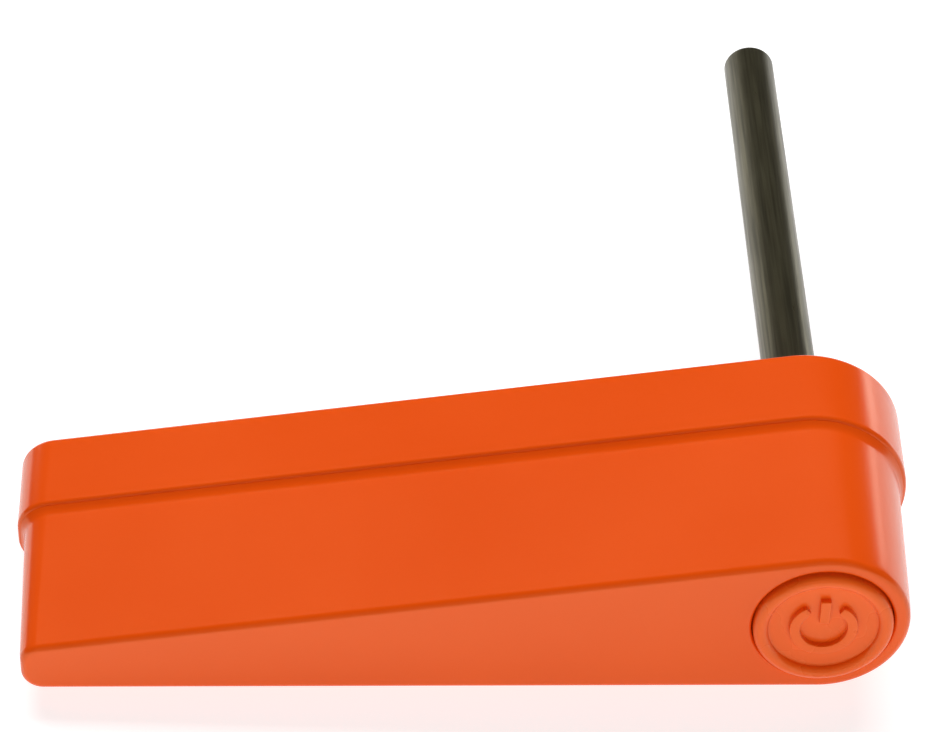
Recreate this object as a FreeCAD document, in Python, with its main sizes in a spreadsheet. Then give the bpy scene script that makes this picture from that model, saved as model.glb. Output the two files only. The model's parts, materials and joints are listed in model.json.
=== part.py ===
import FreeCAD, Part
import math
import os
import Sketcher
from FreeCAD import Placement, Rotation, Vector

# Hand-held pinpointer probe, lying on its lower wide side.
# Origin: the probe's axis where it leaves the rear face. +Y runs along the probe to its tip,
# +X along the grip towards the round end, +Z up. The case lies between Y = -case_depth and 0.

DIMS = {
    # case outline, measured on the narrow front face
    "end_rad": 15.1, "grip_len": 138, "end_high": 9.7, "corner_rad": 3.8, "draft": 2.6,
    "case_depth": 51, "lip_depth": 33.6, "lip_overlap": 6, "lip_step": 1.7,
    "wall": 1.8, "front_wall": 2.2, "cover_wall": 2, "skirt_gap": 0.1,
    "front_round": 1.3, "rear_round": 1.2, "lip_round": 0.9, "ledge_high": 0.8,
    "ledge_long": 1.2, "ledge_gap": 0.1,
    "gasket_thick": 0.8, "gasket_inset": 0.2,
    # screws that hold the cover, their posts and inserts
    "screw_rad": 1.25, "screw_play": 0.15, "screw_len": 16, "head_rad": 2.3, "head_high": 1.7,
    "head_recess": 3.4, "recess_play": 0.3, "slot_wide": 0.6, "slot_deep": 0.8,
    "post_rad": 3, "post_bite": 0.2, "post_stop": 14, "post_one": 12.6, "post_three": 76,
    "insert_rad": 1.95, "insert_len": 5, "insert_fit": 0.02, "tip_room": 1,
    # thumb button, its well, spring and switch
    "button_rad": 12, "button_gap": 0.25, "ring_wide": 2.6, "ring_high": 1.3,
    "button_thick": 1.8, "skirt_thick": 1.4, "button_travel": 1, "stop_room": 0.05,
    "well_deep": 8, "well_floor": 1.8, "stem_rad": 2.5, "stem_fit": 0.08,
    "symbol_rad": 5, "symbol_wide": 1.5, "symbol_high": 0.9, "symbol_open": 35,
    "spring_rad": 7, "spring_wire": 0.7, "spring_turns": 3,
    "clip_rad": 4.2, "clip_thick": 0.8, "clip_neck": 0.5, "clip_mouth": 3.2,
    "plunger_rad": 1.75, "plunger_free": 1.6, "plunger_seat": 1.5, "plunger_play": 0.1,
    "switch_side": 8, "switch_high": 4, "stem_past": 1.2, "disc_rad": 12, "board_thick": 1.6,
    "ear_x": 7.6, "ear_z": 8, "ear_rad": 2, "ear_screw_rad": 1, "ear_screw_len": 6,
    "ear_head_rad": 1.8, "ear_head_high": 1.3,
    # probe rod and its clamp in the cover
    "probe_rad": 5, "probe_len": 114, "probe_root": 24, "tube_wall": 0.7, "tip_thick": 1.6,
    "root_step": 0.2, "root_stand": 0.3,
    "tip_round": 1.3, "core_rad": 3, "core_start": 8, "core_end_room": 1, "former_gap": 0.05,
    "former_wall": 0.5, "flange_rad": 4.1, "flange_thick": 1, "winding_deep": 0.45,
    "winding_gap": 0.03, "coil_a": 10, "coil_a_len": 20, "coil_b": 34, "coil_b_len": 20,
    "coil_c": 60, "coil_c_len": 46, "plug_len": 10, "plug_inset": 2, "plug_gap": 0.05,
    "bush_rad": 7, "bush_fit": 0.02, "bush_back": 18, "bush_flange": 8,
    "bush_flange_thick": 2, "bush_play": 0.15, "seal_thick": 0.8, "plate_rad": 12,
    "plate_thick": 1.5, "clamp_circle": 10.4, "clamp_boss": 1.8, "clamp_screw_rad": 1,
    "clamp_screw_len": 5, "clamp_head_rad": 1.5, "clamp_head_high": 1.2,
    # battery, its snap and pads
    "cell_long": 48.5, "cell_deep": 26.5, "cell_high": 17.5, "cell_gap": 0.3, "cell_back": 9.5,
    "cell_round": 1.5, "stud_pitch": 12.7, "stud_rad": 2.8, "stud_high": 2.6,
    "snap_thick": 3.4, "snap_inset": 1, "rib_thick": 1.6, "rib_first": 26, "rib_second": 54,
    # main board and what it carries
    "board_gap": 1.2, "board_lift": 1.4, "board_front": 3, "board_back": 6, "rail_deep": 1.4,
    "rail_play": 0.1, "rail_reach": 2.2,
    "sounder_rad": 6, "sounder_high": 7.5, "sounder_hole": 1, "sounder_x": 9, "sounder_y": 29,
    "sound_slot_long": 8, "sound_slot_wide": 1.2, "sound_slot_pitch": 2.6,
    "trimmer_side": 6.6, "trimmer_deep": 4.8, "trimmer_x": 22, "rotor_rad": 1.9,
    "rotor_deep": 1, "rotor_seat": 1.2, "rotor_play": 0.15, "tool_hole_rad": 2,
    "chip_wide": 6.4, "chip_high": 3.3, "chip_lift": 0.6, "pin_pitch": 2.54, "pin_wide": 0.5,
    "pin_thick": 0.3, "pin_out": 0.6, "chip_x": 25, "chip_y": 32, "small_chip_x": 25,
    "small_chip_y": 18, "can_rad": 2.5, "can_high": 6.5, "can_x": 21, "can_y": 8.5,
    "can_pitch": 6, "film_long": 7.2, "film_thick": 2.5, "film_high": 5.5, "film_x": 10,
    "film_y": 20, "film_pitch": 4, "resistor_rad": 1.1, "resistor_len": 6,
    "resistor_pitch": 3, "resistor_x": 35, "resistor_y": 11, "leg_rad": 0.3, "leg_out": 1.2,
    "transistor_rad": 2.3, "transistor_flat": 1.3, "transistor_high": 4.4,
    "transistor_lift": 1.2, "transistor_x": 38, "transistor_y": 31, "transistor_pitch": 5.4,
    "socket_long": 5, "socket_deep": 16, "socket_high": 5, "socket_x": 3, "socket_y": 2,
    "lead_rad": 0.6, "lead_apart": 2.4,
}

doc = FreeCAD.newDocument("pinpointer_probe")
sheet = doc.addObject("Spreadsheet::Sheet", "dims")
for row, (alias, size) in enumerate(DIMS.items(), 1):
    sheet.set(f"A{row}", alias)
    sheet.set(f"B{row}", str(size))
    sheet.setAlias(f"B{row}", alias)
doc.recompute()

ALONG_X = Rotation(Vector(0, 1, 0), 90)
ALONG_Y = Rotation(Vector(1, 0, 0), -90)
UPRIGHT = Rotation()
ARCS_PER_TURN = 24

# Rules that several pieces share, written once
FRONT = "-dims.case_depth"
FLOOR = "(dims.front_wall - dims.case_depth)"
LIP = "(dims.lip_depth - dims.case_depth)"
RIM = "(dims.lip_depth + dims.lip_overlap - dims.case_depth)"
LEAN = "tan(dims.draft * 1deg)"
# The angle between the wide sides, from the round end's radius and the narrow end's height
WEDGE = "(2 * atan((dims.grip_len - sqrt(dims.grip_len ^ 2 - dims.end_high" \
        " * (2 * dims.end_rad - dims.end_high))) / dims.end_high))"
SLOPE = f"tan({WEDGE})"
RIM_GROW = f"((dims.lip_depth + dims.lip_overlap) * {LEAN})"
COVER_GROW = f"(dims.lip_depth * {LEAN} + dims.lip_step)"
INNER = "(dims.end_rad - dims.wall)"
SIDE_REACH = f"({INNER} - dims.post_rad + dims.post_bite)"
WELL_BACK = "(dims.well_deep + dims.well_floor - dims.case_depth)"
STEM_END = f"({WELL_BACK} + dims.clip_thick + dims.stem_past)"
DISC_FRONT = f"({STEM_END} + dims.plunger_free + dims.switch_high)"
BOARD_X = "(dims.post_three + dims.post_rad + dims.board_gap)"
BOARD_LONG = f"(dims.grip_len - dims.wall - 2 * dims.post_rad + dims.post_bite" \
             f" - dims.board_gap - {BOARD_X})"
BOARD_Z = f"(dims.board_lift - {INNER})"
BOARD_TOP = f"({BOARD_Z} + dims.board_thick)"
BOARD_Y = f"({FLOOR} + dims.board_front)"
BOARD_DEEP = f"(-dims.board_back - {BOARD_Y})"
ROOT_RAD = "(dims.probe_rad - dims.root_step)"
SEAL_FRONT = "(-dims.cover_wall - dims.seal_thick)"
FLANGE_FRONT = f"({SEAL_FRONT} - dims.bush_flange_thick)"
CELL_X = "(-dims.post_one - dims.post_rad - dims.cell_gap)"
TRIMMER_X = f"(-{BOARD_X} - dims.trimmer_x - dims.trimmer_side / 2)"
TRIMMER_Z = f"({BOARD_TOP} + dims.trimmer_side / 2)"
TRIMMER_BACK = "(-dims.board_back - dims.rotor_deep)"
CELL_FRONT = "(-dims.cell_back - dims.cell_deep)"
CELL_Z = f"(dims.cell_gap - {INNER} - (dims.case_depth + {CELL_FRONT}) * {LEAN})"


def value(rule):
    """The number that a rule gives now, read from the sheet."""
    return float(sheet.evalExpression(rule))


def bind(obj, sizes):
    for prop, rule in sizes.items():
        obj.setExpression(prop, rule)
    return obj


def primitive(kind, name, turn, at, sizes):
    obj = doc.addObject("Part::" + kind, name)
    obj.Placement = Placement(Vector(), turn)
    bind(obj, {"Placement.Base." + axis: rule for axis, rule in zip("xyz", at)})
    return bind(obj, sizes)


def rod(name, radius, length, at, turn=ALONG_Y):
    return primitive("Cylinder", name, turn, at, {"Radius": radius, "Height": length})


def block(name, size, at):
    return primitive("Box", name, UPRIGHT, at, dict(zip(("Length", "Width", "Height"), size)))


def join(name, pieces):
    obj = doc.addObject("Part::MultiFuse", name)
    obj.Shapes = pieces
    return obj


def cut(name, base, tools):
    obj = doc.addObject("Part::Cut", name)
    obj.Base = base
    obj.Tool = tools[0] if len(tools) == 1 else join(name + "_tools", tools)
    return obj


def sleeve(name, outer, inner, length, at):
    """A tube along Y."""
    return cut(name, rod(name + "_outside", outer, length, at),
               [rod(name + "_bore", inner, length, at)])


def cross_plane(body, sketch, place):
    """Lay a sketch across Y at Y = place, with its own axes along X and Z."""
    plane = [f for f in body.Origin.OriginFeatures if f.Role == "XZ_Plane"][0]
    sketch.AttachmentSupport = (plane, [""])
    sketch.MapMode = "FlatFace"
    sketch.setExpression("AttachmentOffset.Base.z", f"-({place})")


def teardrop(body, name, place, grow):
    """The case outline at one depth: a round end, two sides that close in, a small square end.

    The lower side runs along X; grow moves every side outwards by the same amount.
    """
    sketch = body.newObject("Sketcher::SketchObject", name)
    cross_plane(body, sketch, place)
    big, corner, wedge = sheet.end_rad, sheet.corner_rad, math.radians(value(WEDGE))
    left = corner - sheet.grip_len
    high = (big - corner + left * math.sin(wedge)) / math.cos(wedge)
    low = corner - big
    up = Vector(-math.sin(wedge), math.cos(wedge), 0)

    def arc(centre, radius, start, stop):
        return Part.ArcOfCircle(Part.Circle(centre, Vector(0, 0, 1), radius), start, stop)

    top, bottom = Vector(left, high, 0), Vector(left, low, 0)
    sketch.addGeometry([
        arc(Vector(), big, -math.pi / 2, math.pi / 2 + wedge),
        Part.LineSegment(up * big, top + up * corner),
        arc(top, corner, math.pi / 2 + wedge, math.pi),
        Part.LineSegment(top - Vector(corner, 0, 0), bottom - Vector(corner, 0, 0)),
        arc(bottom, corner, math.pi, 1.5 * math.pi),
        Part.LineSegment(bottom - Vector(0, corner, 0), Vector(0, -big, 0)),
    ], False)
    rule = Sketcher.Constraint
    joins = [rule("Tangent", edge, 2, (edge + 1) % 6, 1) for edge in range(6)]
    sketch.addConstraint(joins + [
        rule("Coincident", 0, 3, -1, 1), rule("Vertical", 3), rule("Horizontal", 5),
        rule("Equal", 2, 4)])
    for label, made, size in (
            ("end_rad", rule("Radius", 0, big), f"dims.end_rad + {grow}"),
            ("corner_rad", rule("Radius", 2, corner), f"dims.corner_rad + {grow}"),
            ("wedge", rule("Angle", -1, 1, 1, 2, wedge), WEDGE),
            ("grip_len", rule("DistanceX", 3, 1, -1, 1, sheet.grip_len),
             f"dims.grip_len + {grow}")):
        index = sketch.addConstraint(made)
        sketch.renameConstraint(index, label)
        sketch.setExpression("Constraints." + label, size)
    doc.recompute()
    return sketch


def pad(body, name, sketch, length, taper=None, kind="Pad"):
    """A pad, or a pocket, from a cross sketch towards +Y."""
    feature = body.newObject("PartDesign::" + kind, name)
    feature.Profile = sketch
    feature.Reversed = kind == "Pad"
    feature.setExpression("Length", length)
    if taper:
        feature.setExpression("TaperAngle", taper)
    doc.recompute()
    return feature


def edges_at(shape, place):
    """The names of the edges that lie wholly in the plane Y = place."""
    return [f"Edge{i}" for i, edge in enumerate(shape.Edges, 1)
            if abs(edge.BoundBox.YMin - place) < 1e-6 and abs(edge.BoundBox.YMax - place) < 1e-6]


def soften(body, name, base, place, radius):
    """Round every edge that lies in the plane Y = place."""
    fillet = body.newObject("PartDesign::Fillet", name)
    fillet.Base = (base, edges_at(base.Shape, place))
    fillet.setExpression("Radius", radius)
    doc.recompute()
    return fillet


def post_places():
    """X and Z of the four cover screws: two beside the round end, one midway, one at the tip."""
    def upper(x):
        return f"({SIDE_REACH} / cos({WEDGE}) - {x} * {SLOPE})"

    last = "(dims.grip_len - dims.wall - dims.post_rad + dims.post_bite)"
    middle = f"((dims.end_rad / cos({WEDGE}) - {last} * {SLOPE} - dims.end_rad) / 2)"
    return [("-dims.post_one", upper("dims.post_one")),
            ("-dims.post_one", f"-{SIDE_REACH}"),
            ("-dims.post_three", upper("dims.post_three")),
            ("-" + last, middle)]


def front_housing():
    """The tub: drafted shell, button well, screw posts, battery ribs and board rails."""
    body = doc.addObject("PartDesign::Body", "tub")
    outline = teardrop(body, "tub_outline", FRONT, "0")
    outside = pad(body, "tub_pad", outline, f"{RIM} + dims.case_depth", "dims.draft * 1deg")
    soften(body, "tub_front_round", outside, value(FRONT), "dims.front_round")
    ledge_foot = f"({LIP} - dims.ledge_gap - dims.ledge_long)"
    ledge = teardrop(body, "tub_ledge_outline", ledge_foot,
                     f"({ledge_foot} + dims.case_depth) * {LEAN}")
    pad(body, "tub_ledge", ledge, "dims.ledge_long",
        "atan(dims.ledge_high / dims.ledge_long) + dims.draft * 1deg")
    hollow = teardrop(body, "tub_hollow_outline", FLOOR, "-dims.wall")
    pad(body, "tub_hollow", hollow, f"{RIM} - {FLOOR}", "dims.draft * 1deg", "Pocket")

    well = rod("well_block", "dims.end_rad - dims.wall / 2", "dims.well_deep"
               " + dims.well_floor - dims.front_wall / 2",
               ("0", f"{FLOOR} - dims.front_wall / 2", "0"))
    solids = [body, well]
    holes = [
        rod("well_hollow", "dims.button_rad + dims.button_gap", "dims.well_deep",
            ("0", FRONT, "0")),
        rod("stem_bore", "dims.stem_rad + dims.stem_fit", "dims.well_floor",
            ("0", f"{WELL_BACK} - dims.well_floor", "0"))]
    post_top = "-dims.post_stop"
    for i, (x, z) in enumerate(post_places(), 1):
        solids.append(rod(f"post_{i}", "dims.post_rad", f"{post_top} - {FLOOR}",
                          (x, FLOOR, z)))
        holes.append(rod(f"insert_hole_{i}", "dims.insert_rad", "dims.insert_len",
                         (x, f"{post_top} - dims.insert_len", z)))
        depth = "(dims.screw_len + dims.head_recess - dims.post_stop + dims.tip_room)"
        holes.append(rod(f"tip_hole_{i}", "dims.screw_rad + dims.screw_play", depth,
                         (x, f"{post_top} - {depth}", z)))
    for i, z in enumerate(("dims.ear_z", "-dims.ear_z"), 1):
        solids.append(rod(f"ear_post_{i}", "dims.ear_rad", f"{DISC_FRONT} - {WELL_BACK}",
                          ("dims.ear_x", WELL_BACK, z)))
        holes.append(rod(f"ear_hole_{i}", "dims.ear_screw_rad", "dims.ear_screw_len",
                         ("dims.ear_x", f"{DISC_FRONT} + dims.board_thick"
                          " - dims.ear_screw_len", z)))
    for i, x in enumerate(("dims.rib_first", "dims.rib_second"), 1):
        top = f"(({INNER} + dims.post_bite) / cos({WEDGE}) - {x} * {SLOPE})"
        solids.append(block(f"battery_rib_{i}", (
            "dims.rib_thick", f"{CELL_FRONT} - {FLOOR} + dims.post_bite",
            "dims.cell_high / 3"),
            (f"-{x}", f"{FLOOR} - dims.post_bite", f"{top} - dims.cell_high / 3")))
    for i, x in enumerate((f"-{BOARD_X} - dims.rail_reach + dims.board_gap / 2",
                           f"-{BOARD_X} - {BOARD_LONG} - dims.board_gap / 2"), 1):
        for side, z in (("low", f"-{INNER} - dims.post_bite"),
                        ("high", f"{BOARD_TOP} + dims.rail_play")):
            tall = "dims.rail_deep"
            if side == "low":
                tall = "dims.board_lift + dims.post_bite - dims.rail_play"
            solids.append(block(f"rail_{side}_{i}", (
                "dims.rail_reach", f"{BOARD_DEEP} * 2 / 3", tall), (x, FLOOR, z)))
    return cut("front_housing", join("housing_solid", solids), holes)


def rear_cover():
    """The lid: proud skirt over the tub's rim, gasket shoulder, screw bosses and openings."""
    body = doc.addObject("PartDesign::Body", "lid")
    outline = teardrop(body, "lid_outline", LIP, COVER_GROW)
    outside = pad(body, "lid_pad", outline, f"-{LIP}")
    rounded = soften(body, "lid_rear_round", outside, 0, "dims.rear_round")
    soften(body, "lid_lip_round", rounded, value(LIP), "dims.lip_round")
    skirt = teardrop(body, "lid_skirt_outline", LIP, f"{RIM_GROW} + dims.skirt_gap")
    pad(body, "lid_skirt_hollow", skirt, f"{RIM} + dims.gasket_thick - {LIP}", None, "Pocket")
    inner = teardrop(body, "lid_inner_outline", RIM, f"{RIM_GROW} - dims.wall")
    pad(body, "lid_hollow", inner, f"-dims.cover_wall - {RIM}", None, "Pocket")

    solids, holes = [body], []
    boss_len = "(dims.post_stop - dims.cover_wall / 2)"
    for i, (x, z) in enumerate(post_places(), 1):
        solids.append(rod(f"boss_{i}", "dims.post_rad", boss_len,
                          (x, "-dims.post_stop", z)))
        holes.append(rod(f"screw_hole_{i}", "dims.screw_rad + dims.screw_play",
                         "dims.post_stop", (x, "-dims.post_stop", z)))
        holes.append(rod(f"head_hole_{i}", "dims.head_rad + dims.recess_play",
                         "dims.head_recess", (x, "-dims.head_recess", z)))
    for i, (x, z) in enumerate(clamp_places(), 1):
        solids.append(rod(f"clamp_boss_{i}", "dims.clamp_boss",
                          f"-dims.cover_wall / 2 - {FLANGE_FRONT}", (x, FLANGE_FRONT, z)))
        holes.append(rod(f"clamp_hole_{i}", "dims.clamp_screw_rad",
                         "dims.clamp_screw_len - dims.plate_thick", (x, FLANGE_FRONT, z)))
    holes.append(rod("probe_hole", f"{ROOT_RAD} + dims.bush_play", "dims.cover_wall",
                     ("0", "-dims.cover_wall", "0")))
    holes.append(rod("tool_hole", "dims.tool_hole_rad", "dims.cover_wall",
                     (TRIMMER_X, "-dims.cover_wall", TRIMMER_Z)))
    for i in range(3):
        holes.append(block(f"sound_slot_{i + 1}", (
            "dims.sound_slot_wide", "dims.cover_wall", "dims.sound_slot_long"),
            (f"-{BOARD_X} - dims.sounder_x - dims.sound_slot_wide / 2"
             f" + {i - 1} * dims.sound_slot_pitch", "-dims.cover_wall",
             f"{BOARD_TOP} + dims.sounder_high / 2 - dims.sound_slot_long / 2")))
    return cut("rear_cover", join("cover_solid", solids), holes)


def cover_gasket():
    """A flat rubber frame between the tub's rim and the lid's shoulder."""
    body = doc.addObject("PartDesign::Body", "cover_gasket")
    outer = teardrop(body, "gasket_outline", RIM, f"{RIM_GROW} - dims.gasket_inset")
    pad(body, "gasket_pad", outer, "dims.gasket_thick")
    inner = teardrop(body, "gasket_inner", RIM, f"{RIM_GROW} - dims.wall + dims.gasket_inset")
    pad(body, "gasket_hollow", inner, "dims.gasket_thick", None, "Pocket")
    return body


def cross_screw(name, x, z, seat, sizes, inward=False):
    """A screw along Y with a cross recess. Its head is past seat, at +Y or, inward, at -Y."""
    shank, length, head, head_high = sizes
    solid = join(name + "_solid", [
        rod(name + "_shank", shank, length, (x, seat if inward else f"{seat} - {length}", z)),
        rod(name + "_head", head, head_high, (x, f"{seat} - {head_high}" if inward else seat, z))])
    deep = f"{seat} - {head_high}" if inward else f"{seat} + {head_high} - dims.slot_deep"
    reach = f"(1.4 * {head})"
    return cut(name, solid, [
        block(name + "_slot_a", (reach, "dims.slot_deep", "dims.slot_wide"),
              (f"{x} - {reach} / 2", deep, f"{z} - dims.slot_wide / 2")),
        block(name + "_slot_b", ("dims.slot_wide", "dims.slot_deep", reach),
              (f"{x} - dims.slot_wide / 2", deep, f"{z} - {reach} / 2"))])


def cover_screws():
    return join("cover_screws", [
        cross_screw(f"cover_screw_{i}", x, z, "-dims.head_recess", (
            "dims.screw_rad", "dims.screw_len", "dims.head_rad", "dims.head_high"))
        for i, (x, z) in enumerate(post_places(), 1)])


def thread_inserts():
    return join("thread_inserts", [
        sleeve(f"thread_insert_{i}", "dims.insert_rad", "dims.screw_rad + dims.insert_fit",
               "dims.insert_len", (x, "-dims.post_stop - dims.insert_len", z))
        for i, (x, z) in enumerate(post_places(), 1)])


def thumb_button():
    """A capped ring with a raised rim and a raised power symbol, on a guided stem."""
    top = FRONT
    under = f"({FRONT} + dims.button_thick)"
    skirt_end = "(dims.well_deep - dims.button_travel - dims.stop_room)"
    skirt = cut("button_skirt", rod("button_side", "dims.button_rad", skirt_end,
                                    ("0", top, "0")),
                [rod("button_hollow", "dims.button_rad - dims.skirt_thick",
                     f"{skirt_end} - dims.button_thick", ("0", under, "0"))])
    rim_body = doc.addObject("PartDesign::Body", "button_rim")
    sketch = rim_body.newObject("Sketcher::SketchObject", "rim_section")
    plane = [f for f in rim_body.Origin.OriginFeatures if f.Role == "XY_Plane"][0]
    sketch.AttachmentSupport = (plane, [""])
    sketch.MapMode = "FlatFace"
    outer, wide = sheet.button_rad, sheet.ring_wide
    front, high = -sheet.case_depth, sheet.ring_high
    radius = high / 2
    low = front - high + radius

    def arc(x, start, stop):
        circle = Part.Circle(Vector(x, low, 0), Vector(0, 0, 1), radius)
        return Part.ArcOfCircle(circle, start, stop)

    sketch.addGeometry([
        Part.LineSegment(Vector(outer - wide, front, 0), Vector(outer - wide, low, 0)),
        arc(outer - wide + radius, math.pi, 1.5 * math.pi),
        Part.LineSegment(Vector(outer - wide + radius, front - high, 0),
                         Vector(outer - radius, front - high, 0)),
        arc(outer - radius, 1.5 * math.pi, 2 * math.pi),
        Part.LineSegment(Vector(outer, low, 0), Vector(outer, front, 0)),
        Part.LineSegment(Vector(outer, front, 0), Vector(outer - wide, front, 0)),
    ], False)
    rule = Sketcher.Constraint
    sketch.addConstraint([
        rule("Tangent", 0, 2, 1, 1), rule("Tangent", 1, 2, 2, 1), rule("Tangent", 2, 2, 3, 1),
        rule("Tangent", 3, 2, 4, 1), rule("Coincident", 4, 2, 5, 1),
        rule("Coincident", 5, 2, 0, 1), rule("Vertical", 4), rule("Horizontal", 5),
        rule("Equal", 1, 3)])
    for label, made, size in (
            ("outer", rule("DistanceX", -1, 1, 4, 2, outer), "dims.button_rad"),
            ("wide", rule("DistanceX", 0, 1, 4, 2, wide), "dims.ring_wide"),
            ("front", rule("DistanceY", 4, 2, -1, 1, -front), "dims.case_depth"),
            ("high", rule("DistanceY", 2, 1, 0, 1, high), "dims.ring_high"),
            ("round", rule("Radius", 1, radius), "dims.ring_high / 2")):
        index = sketch.addConstraint(made)
        sketch.renameConstraint(index, label)
        sketch.setExpression("Constraints." + label, size)
    doc.recompute()
    turned = rim_body.newObject("PartDesign::Revolution", "rim_turned")
    turned.Profile = sketch
    turned.ReferenceAxis = (sketch, ["V_Axis"])
    turned.Angle = 360
    doc.recompute()

    symbol_front = f"({FRONT} - dims.symbol_high)"
    deep = "(dims.symbol_high + dims.button_thick / 2)"
    half = "dims.symbol_wide / 2"
    circle = sleeve("symbol_circle", f"dims.symbol_rad + {half}",
                    f"dims.symbol_rad - {half}", deep, ("0", symbol_front, "0"))
    open_rad = "(dims.symbol_rad + dims.symbol_wide)"
    gap = block("symbol_gap", (f"2 * {open_rad} * sin(dims.symbol_open * 1deg)", deep, open_rad),
                (f"-{open_rad} * sin(dims.symbol_open * 1deg)", symbol_front, "0"))
    bar = block("symbol_bar", ("dims.symbol_wide", deep, "dims.symbol_rad"),
                (f"-{half}", symbol_front, f"{half} + dims.ring_wide / 4"))
    stem = rod("button_stem", "dims.stem_rad", f"{STEM_END} - {under}", ("0", under, "0"))
    neck = sleeve("stem_neck_cut", "dims.stem_rad + dims.stem_fit",
                  "dims.stem_rad - dims.clip_neck", "dims.clip_thick + dims.stop_room",
                  ("0", f"{WELL_BACK} + dims.stop_room", "0"))
    collar = sleeve("spring_collar", "dims.spring_rad - dims.spring_wire",
                    "dims.stem_rad", "dims.button_thick", ("0", under, "0"))
    solid = join("button_solid", [skirt, rim_body, cut("symbol_arc", circle, [gap]), bar,
                                  stem, collar])
    return cut("thumb_button", solid, [neck])


def button_clip():
    """A retaining clip in the stem's neck, open on one side, behind the well floor."""
    disc = sleeve("clip_disc", "dims.clip_rad", "dims.stem_rad - dims.clip_neck + dims.stop_room",
                  "dims.clip_thick", ("0", f"{WELL_BACK} + dims.stop_room", "0"))
    mouth = block("clip_gap", ("dims.clip_mouth", "dims.clip_thick", "dims.clip_rad"),
                  ("-dims.clip_mouth / 2", f"{WELL_BACK} + dims.stop_room", "-dims.clip_rad"))
    return cut("button_clip", disc, [mouth])


def button_spring():
    """A coil of round wire with its ends on the button's underside and the well floor."""
    wire = sheet.spring_wire / 2
    span = value("dims.well_deep - dims.button_thick") - 2 * wire
    whole = 2 * math.pi * sheet.spring_turns
    steps = int(ARCS_PER_TURN * sheet.spring_turns)

    def on_coil(turn):
        return Vector(sheet.spring_rad * math.cos(turn), sheet.spring_rad * math.sin(turn),
                      span * turn / whole)

    path = Part.Wire([
        Part.Arc(*(on_coil(whole * (i + part) / steps) for part in (0, 0.5, 1))).toShape()
        for i in range(steps)])
    along = Vector(0, sheet.spring_rad, span / whole)
    section = Part.Wire(Part.makeCircle(wire, on_coil(0), along))
    obj = doc.addObject("Part::Feature", "button_spring")
    obj.Shape = path.makePipeShell([section], True, True)
    start = value(f"{FRONT} + dims.button_thick") + wire
    obj.Placement = Placement(Vector(0, start, 0), ALONG_Y)
    return obj


def switch_pieces():
    """The switch, its plunger and the small round board that carries them."""
    half = "dims.switch_side / 2"
    case = cut("switch_body", block("switch_case", (
        "dims.switch_side", "dims.switch_high", "dims.switch_side"),
        (f"-{half}", f"{STEM_END} + dims.plunger_free", f"-{half}")),
        [rod("plunger_hole", "dims.plunger_rad + dims.plunger_play",
             "dims.plunger_seat + dims.button_travel + dims.plunger_play",
             ("0", f"{STEM_END} + dims.plunger_free", "0"))])
    rod("switch_plunger", "dims.plunger_rad", "dims.plunger_free + dims.plunger_seat",
        ("0", STEM_END, "0"))
    disc = rod("switch_disc", "dims.disc_rad", "dims.board_thick", ("0", DISC_FRONT, "0"))
    holes = [rod(f"disc_hole_{i}", "dims.ear_screw_rad + dims.screw_play", "dims.board_thick",
                 ("dims.ear_x", DISC_FRONT, z))
             for i, z in enumerate(("dims.ear_z", "-dims.ear_z"), 1)]
    cut("switch_board", disc, holes)
    join("switch_screws", [
        cross_screw(f"switch_screw_{i}", "dims.ear_x", z, f"({DISC_FRONT} + dims.board_thick)", (
            "dims.ear_screw_rad", "dims.ear_screw_len", "dims.ear_head_rad",
            "dims.ear_head_high"))
        for i, z in enumerate(("dims.ear_z", "-dims.ear_z"), 1)])
    return case


def probe_pieces():
    """The rod: closed tube, ferrite core on its former, three windings and an end plug."""
    bore = "(dims.probe_rad - dims.tube_wall)"
    length = "(dims.probe_len + dims.probe_root)"
    solid = rod("tube_solid", "dims.probe_rad", "dims.probe_len - dims.root_stand",
                ("0", "dims.root_stand", "0"))
    doc.recompute()
    rounded = doc.addObject("Part::Fillet", "tube_rounded")
    rounded.Base = solid
    tip = edges_at(solid.Shape, sheet.probe_len)[0]
    rounded.Edges = [(int(tip[4:]), sheet.tip_round, sheet.tip_round)]
    root = rod("tube_root", ROOT_RAD, "dims.probe_root + dims.root_stand + dims.tip_thick",
               ("0", "-dims.probe_root", "0"))
    cut("probe_tube", join("tube_joined", [rounded, root]), [
        rod("tube_bore", bore, f"{length} - dims.tip_thick", ("0", "-dims.probe_root", "0"))])

    core_len = "(dims.probe_len - dims.tip_thick - dims.core_end_room + dims.core_start)"
    rod("ferrite_core", "dims.core_rad", core_len, ("0", "-dims.core_start", "0"))
    inner = "(dims.core_rad + dims.former_gap)"
    outer = f"({inner} + dims.former_wall)"
    tube = sleeve("former_tube", outer, inner, core_len, ("0", "-dims.core_start", "0"))
    coils = (("coil_a", "receive_winding_rear"), ("coil_b", "receive_winding_front"),
             ("coil_c", "transmit_winding"))
    flanges = []
    for coil, winding in coils:
        place, span = f"dims.{coil}", f"dims.{coil}_len"
        for side, y in (("rear", f"{place} - dims.flange_thick"),
                        ("front", f"{place} + {span}")):
            flanges.append(sleeve(f"{coil}_{side}_flange", "dims.flange_rad", inner,
                                  "dims.flange_thick", ("0", y, "0")))
        sleeve(winding, f"{outer} + dims.winding_deep", f"{outer} + dims.winding_gap", span,
               ("0", place, "0"))
    join("coil_former", [tube] + flanges)
    rod("tube_plug", f"{bore} - dims.plug_gap", "dims.plug_len",
        ("0", "dims.plug_inset - dims.probe_root", "0"))


def clamp_places():
    """X and Z of the three screws round the probe's bush."""
    return [(f"dims.clamp_circle * cos({turn}deg)", f"dims.clamp_circle * sin({turn}deg)")
            for turn in (0, 120, 240)]


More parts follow.
